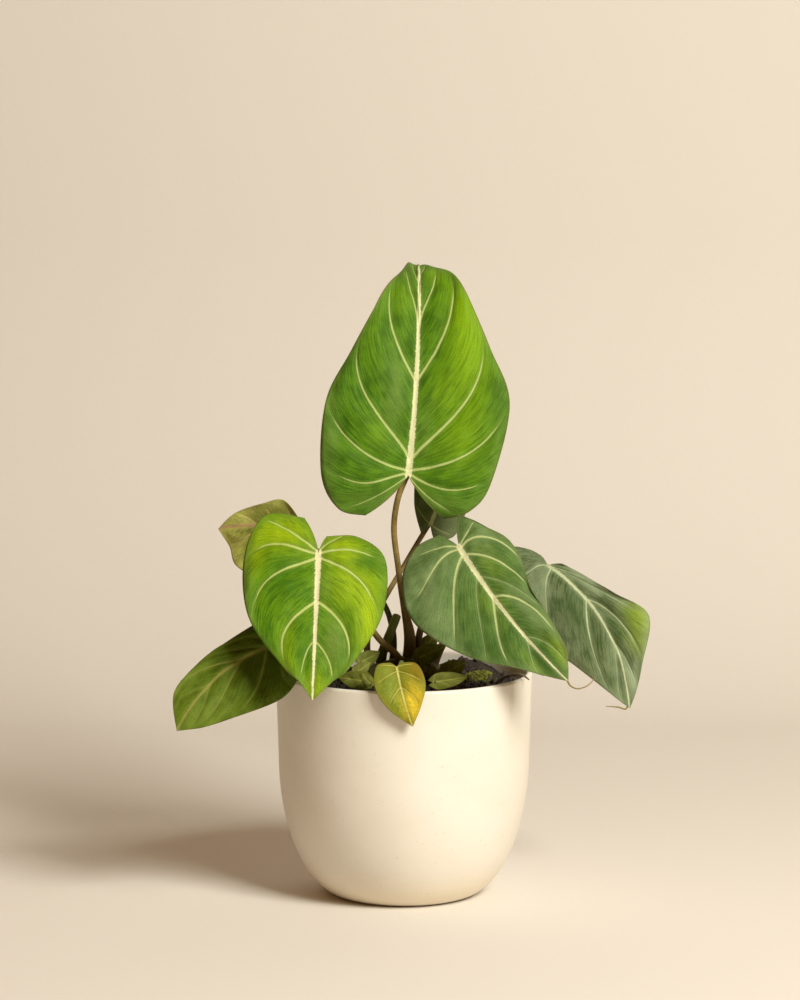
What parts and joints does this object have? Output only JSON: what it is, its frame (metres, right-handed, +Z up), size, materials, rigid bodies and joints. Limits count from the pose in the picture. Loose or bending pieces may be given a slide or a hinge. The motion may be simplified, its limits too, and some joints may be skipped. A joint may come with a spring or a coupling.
{
  "type": "potted foliage plant",
  "caption": "Potted velvet-leaved philodendron with pale-veined heart-shaped blades on long petioles in a round-bellied ceramic pot.",
  "frame": {"origin": "centre of the pot's flat foot, on the surface that it stands on", "axes": "+Z up, towards the leaves; -Y towards the viewer of the picture, where most blades face; +X to the picture's right"},
  "size_m": [0.3314, 0.1913, 0.4415],
  "materials": {
    "pot_glaze": "satin",
    "potting_mix": "matte",
    "rhizome": "matte",
    "stub": "satin",
    "petiole": "satin",
    "dry_root": "matte",
    "moss": "matte",
    "leaflet": "satin",
    "blade_tall": "satin",
    "blade_lime": "satin",
    "blade_centre_right": "satin",
    "blade_far_right": "satin",
    "blade_lower_left": "satin",
    "blade_upper_left": "satin",
    "blade_back": "satin",
    "blade_small_front": "satin"
  },
  "bodies": {
    "root": {"pot": "pot_glaze", "potting_mix": "potting_mix", "rhizome": "rhizome", "moss": "moss", "stub_front": "stub", "dry_root": "dry_root", "petiole_tall": "petiole", "blade_tall": "blade_tall", "petiole_lime": "petiole", "blade_lime": "blade_lime", "petiole_centre_right": "petiole", "blade_centre_right": "blade_centre_right", "petiole_far_right": "petiole", "blade_far_right": "blade_far_right", "petiole_lower_left": "petiole", "blade_lower_left": "blade_lower_left", "petiole_upper_left": "petiole", "blade_upper_left": "blade_upper_left", "petiole_back": "petiole", "blade_back": "blade_back", "petiole_small_front": "petiole", "blade_small_front": "blade_small_front", "leaflet_left_high": "leaflet", "leaflet_left_middle": "leaflet", "leaflet_left_low": "leaflet", "leaflet_left_lip": "leaflet", "leaflet_right_high": "leaflet", "leaflet_right_back": "leaflet", "leaflet_right_round": "leaflet", "leaflet_right_low": "leaflet"}
  },
  "joints": []
}
